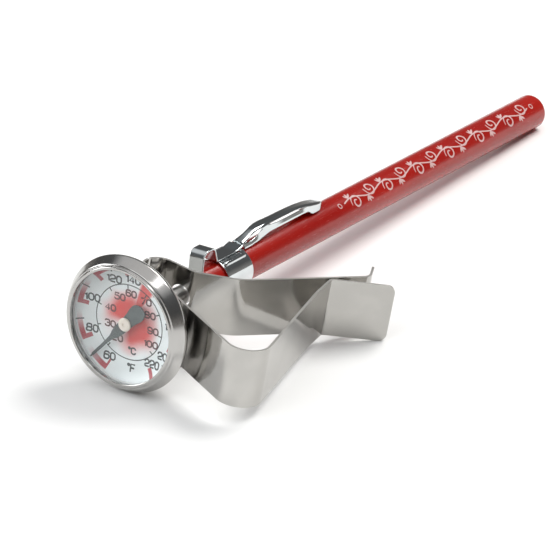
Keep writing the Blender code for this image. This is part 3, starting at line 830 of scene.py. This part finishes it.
def make_sheath():
    floor = SHEATH_END - 1.6
    inside = [(0, floor), (SHEATH_BORE_R, floor), (SHEATH_BORE_R, SHEATH_MOUTH + 0.4)]
    outside = rounded_path([(SHEATH_BORE_R, SHEATH_MOUTH + 0.2, 0), (2.45, SHEATH_MOUTH, 0),
                            (SHEATH_R, SHEATH_MOUTH, 0.25), (SHEATH_R, 90, 0),
                            (SHEATH_R, SHEATH_END, 1.4), (0, SHEATH_END, 0)], 9)
    piece("sheath", lathe_mesh("sheath", inside + outside, 96, False), STEM,
          "sheath", "sheath_red", ["sheath_tube"])


def on_sheath(point, lift=0.012):
    """A (along, around) point in millimetres, laid on the sheath."""
    a = math.radians(ORNAMENT_ANGLE) - point[1] / SHEATH_R
    r = SHEATH_R + lift
    return Vector((r * math.sin(a), point[0], r * math.cos(a))) * MM


def make_ornament():
    """A printed running scroll with leaves in place of lettering."""
    start, pitch, count = 74.6, 11.9, 6
    end = start + pitch * count
    bm = bmesh.new()
    alongs = [start + pitch * count * i / 240 for i in range(241)]
    vine = [(s, 0.6 * math.sin(2 * math.pi * (s - start) / pitch)) for s in alongs]
    ribbon(bm, vine, lambda share: 0.28, on_sheath)
    for k in range(2 * count):
        up = 1 if k % 2 == 0 else -1
        crest = start + pitch * (k + 0.5) / 2
        curl = []
        for i in range(31):
            t = i / 30
            a = math.radians(190 - 500 * t)
            r = 1.75 * (1 - 0.78 * t)
            curl.append((crest + 0.9 + r * math.cos(a), up * (-0.75 + r * math.sin(a))))
        ribbon(bm, curl, lambda share: 0.2 + 0.18 * math.sin(math.pi * share), on_sheath)
        for lean, size in ((35, 1.75), (70, 1.4), (115, 1.15)):
            a = math.radians(lean)
            leaf = [(crest - 0.9 + size * t / 8 * math.cos(a),
                     up * (0.72 + size * t / 8 * math.sin(a))) for t in range(9)]
            ribbon(bm, leaf, lambda share: 0.1 + 0.38 * math.sin(math.pi * share) ** 0.8,
                   on_sheath)
    for s in (start - 1.6, end + 1.6):
        ribbon(bm, arc((s, 0), 0.5, 0.0, 2 * math.pi, 15), lambda share: 0.2, on_sheath)
    obj = piece("sheath_ornament", flat_mesh(bm, "sheath_ornament"), STEM, "sheath",
                "sheath_red", material=INK_SILVER)
    thicken(obj, INK_THICK, 1.0)


BAND_IN_R = 3.82
BAND_OUT_R = 4.22
BAND_START = 31.0
BAND_END = 39.4
BAND_GAP = 2.4                  # the seam under the sheath
RIB_RING_R = 4.2


def make_band():
    """The pocket clip's band: a sheet rolled round the sheath, open at its seam."""
    gap = math.degrees(math.asin(BAND_GAP / 2 / BAND_OUT_R))
    angles = [math.radians(180 + gap + (360 - 2 * gap) * i / 96) for i in range(97)]
    middle = (BAND_IN_R + BAND_OUT_R) / 2
    bm = bmesh.new()
    rows = [[bm.verts.new((middle * MM * math.sin(a), y * MM, middle * MM * math.cos(a)))
             for a in angles] for y in (BAND_START, 33.8, 36.6, BAND_END)]
    for low, high in zip(rows, rows[1:]):
        for i in range(len(angles) - 1):
            bm.faces.new((low[i], low[i + 1], high[i + 1], high[i]))
    band = piece("pocket_band", smooth_mesh(bm, "pocket_band"), STEM, "sheath", "clip_chrome",
                 ["pocket_clip_collar"])
    thicken(band, BAND_OUT_R - BAND_IN_R)
    bevel(band, 0.13)


def make_band_fittings():
    """The raised loop in front of the band, its tongue under the arm and two ribs."""
    top = BAND_OUT_R + 0.04
    loop = rounded_path([(25.3, 2.6, 0), (25.85, 7.35, 1.5), (29.4, 7.35, 1.2),
                         (30.4, top, 0.5), (36.8, top, 5.0), (39.2, top + 0.55, 0)])
    make_strip("pocket_loop", loop, 3.4, 0.4, SIDE, "sheath", "clip_chrome", edge=0.14)
    tongue = [(38.6, 4.2), (39.6, 4.48), (41.2, 4.85)]
    make_strip("pocket_tongue", tongue, 2.3, 0.3, SIDE, "sheath", "clip_chrome", edge=0.08)
    rib = rounded_path([(0, 31.5, 0), (0.55, 31.5, 0.5), (0.55, 38.6, 0.5), (0, 38.6, 0)], 10)
    for side, turn in (("far", -36.0), ("near", 36.0)):
        x, z = on_angle(RIB_RING_R, turn)
        where = STEM @ Matrix.Translation(Vector((x, 0, z)) * MM)
        piece("pocket_rib_" + side, lathe_mesh("pocket_rib", rib, 24, False), where, "sheath",
              "clip_chrome")


# Place along the stem, low and high edge, half width and the sides' slope of the arm's sections
ARM_STATIONS = (
    (39.9, 3.8, 5.15, 1.7, 0.36), (41.2, 3.8, 5.5, 1.7, 0.42), (42.6, 3.83, 5.9, 1.7, 0.42),
    (43.8, 3.95, 6.3, 1.7, 0.38), (45.0, 4.18, 6.58, 1.7, 0.30), (46.3, 4.45, 6.68, 1.7, 0.2),
    (48.0, 4.7, 6.72, 1.7, 0.2), (49.5, 4.8, 6.72, 1.7, 0.30), (51.5, 4.82, 6.71, 1.7, 0.36),
    (54.0, 4.83, 6.7, 1.7, 0.38), (58.0, 4.85, 6.6, 1.7, 0.38), (60.5, 4.85, 6.42, 1.7, 0.38),
    (62.3, 4.82, 6.22, 1.7, 0.34), (63.2, 4.2, 6.08, 1.72, 0.2), (64.2, 3.82, 5.92, 1.74, 0.12),
    (65.3, 3.74, 5.7, 1.74, 0.1), (66.4, 3.82, 5.5, 1.7, 0.1), (67.3, 4.05, 5.32, 1.5, 0.1),
    (68.0, 4.3, 5.15, 1.15, 0.1), (68.5, 4.5, 5.0, 0.8, 0.1), (68.75, 4.6, 4.88, 0.4, 0.1),
)
ARM_SECTION_POINTS = 48
CHANNEL_HALF = 1.3


def make_arm():
    """The sprung arm: an inverted channel with round shoulders, ending in a lobe."""
    bm = bmesh.new()
    rows = []
    for y, low, high, half, slope in ARM_STATIONS:
        shoulder = min(0.55, (high - low) * 0.5, half * 0.6)
        foot = min(0.12, (high - low) * 0.2)
        lean = half - slope * (high - low)
        section = rounded_loop([(-half, low, foot), (-lean, high, shoulder), (lean, high, shoulder),
                                (half, low, foot)], 15)
        rows.append([bm.verts.new((x * MM, y * MM, z * MM))
                     for x, z in resample(section, ARM_SECTION_POINTS)])
    for low, high in zip(rows, rows[1:]):
        for i in range(ARM_SECTION_POINTS):
            j = (i + 1) % ARM_SECTION_POINTS
            bm.faces.new((low[i], low[j], high[j], high[i]))
    bm.faces.new(rows[0])
    bm.faces.new(rows[-1])
    arm = piece("pocket_arm", smooth_mesh(bm, "pocket_arm"), STEM, "pocket_arm", "clip_chrome",
                ["pocket_clip_arm"])
    hollow = [(38.0, 2.0), (66.6, 2.0), (66.6, 4.4), (65.4, 5.1), (62.3, 5.8), (57.9, 6.22),
              (48.5, 6.32), (45.1, 6.18), (42.7, 5.5), (38.0, 4.3)]
    cut_away(arm, slab_mesh("channel", [(x, y, -CHANNEL_HALF) for x, y in hollow],
                            (0, 0, 2 * CHANNEL_HALF)), SIDE)
    paint(arm, MATERIALS["clip_chrome"])


# Carried-over CAD nodes -----------------------------------------------------------------------

KEPT = {
    "crystal_gasket": "gasket_grey", "dial_spacer": "spacer_white", "spindle": "inner_steel",
    "upper_guide_bush": "bush_brass", "lower_guide_bush": "bush_brass",
    "bimetal_helix": "bush_brass", "helix_anchor": "inner_steel", "stem_flange": "inner_steel",
    "spring_washer": "spring_steel", "stem_seal": "seal_black",
}


def dress_kept_nodes():
    for name, slot in KEPT.items():
        paint(frame["nodes"][name], MATERIALS[slot])


# Floor, lights and camera ---------------------------------------------------------------------

def make_floor():
    bm = bmesh.new()
    bmesh.ops.create_grid(bm, x_segments=2, y_segments=2, size=1.5)
    floor = place("floor", flat_mesh(bm, "floor"))
    floor.location.z = -0.02 * MM
    n = Nodes("floor_white")
    n.link(n.mix(n.noise(0.004, 2.0), color(0.90, 0.895, 0.885), color(0.93, 0.93, 0.925)),
           n.shader.inputs["Base Color"])
    n.shader.inputs["Roughness"].default_value = 0.75
    n.shader.inputs["Specular IOR Level"].default_value = 0.15
    floor.data.materials.append(n.material)


def softbox(name, direction, distance, width, height, power, tint=(1, 1, 1)):
    light = bpy.data.lights.new(name, "AREA")
    light.shape = "RECTANGLE"
    light.size = width
    light.size_y = height
    light.energy = power
    light.color = tint
    obj = place(name, light)
    away = Vector(direction).normalized()
    obj.location = away * distance
    obj.rotation_mode = "QUATERNION"
    obj.rotation_quaternion = away.to_track_quat("Z", "Y")


def make_lights():
    world = bpy.data.worlds.new("studio")
    bpy.context.scene.world = world
    world.use_nodes = True
    tree = world.node_tree
    coordinates = tree.nodes.new("ShaderNodeTexCoord")
    axes = tree.nodes.new("ShaderNodeSeparateXYZ")
    ramp = tree.nodes.new("ShaderNodeValToRGB")
    tree.links.new(coordinates.outputs["Generated"], axes.inputs[0])
    tree.links.new(axes.outputs[2], ramp.inputs[0])
    tree.links.new(ramp.outputs[0], tree.nodes["Background"].inputs[0])
    levels = ((0.0, (0.30, 0.285, 0.27)), (0.3, (0.10, 0.10, 0.10)), (0.66, (0.12, 0.125, 0.13)),
              (0.80, (0.70, 0.71, 0.72)), (1.0, (0.8, 0.8, 0.8)))
    ramp.color_ramp.elements[0].position = levels[0][0]
    ramp.color_ramp.elements[0].color = color(*levels[0][1])
    ramp.color_ramp.elements[1].position = levels[-1][0]
    ramp.color_ramp.elements[1].color = color(*levels[-1][1])
    for place, tint in levels[1:-1]:
        ramp.color_ramp.elements.new(place).color = color(*tint)
    tree.nodes["Background"].inputs[1].default_value = 1.0
    softbox("key", (0.22, 0.50, 0.82), 0.7, 0.44, 0.32, 3.9, (1.0, 0.99, 0.97))
    softbox("strip", (0.40, -0.18, 0.90), 0.75, 0.55, 0.12, 0.6)
    softbox("left_low", (-0.80, -0.45, 0.38), 0.75, 0.5, 0.28, 2.6, (0.97, 0.985, 1.0))
    softbox("front_fill", (-0.1, -0.80, 0.60), 0.8, 0.5, 0.35, 1.0, (0.96, 0.985, 1.0))


CAMERA_AZIMUTH = 33.8193
CAMERA_ELEVATION = 25.604
CAMERA_DISTANCE = 921.56
CAMERA_LENS = 301.35
AIM_FROM_HEAD = (-4.3086, 59.4712, -13.75)


def make_camera():
    a, e = math.radians(CAMERA_AZIMUTH), math.radians(CAMERA_ELEVATION)
    back = Vector((math.sin(a) * math.cos(e), -math.cos(a) * math.cos(e), math.sin(e)))
    aim = Vector(STEM_JOINT["pos_m"]) + Vector(AIM_FROM_HEAD) * MM
    camera = place("camera", bpy.data.cameras.new("camera"))
    camera.location = aim + back * CAMERA_DISTANCE * MM
    camera.rotation_mode = "QUATERNION"
    camera.rotation_quaternion = back.to_track_quat("Z", "Y")
    camera.data.sensor_width = 36.0
    camera.data.lens = CAMERA_LENS
    camera.data.clip_start = 0.05
    camera.data.clip_end = 20.0
    bpy.context.scene.camera = camera


make_bezel()
make_case()
make_window()
make_dial()
make_printing()
make_pointer()
make_hub()
make_stem()
make_nut()
make_far_leg()
make_clip_body()
make_sheath()
make_ornament()
make_band()
make_band_fittings()
make_arm()
dress_kept_nodes()
make_floor()
make_lights()
make_camera()
bpy.context.scene.view_settings.view_transform = "Standard"
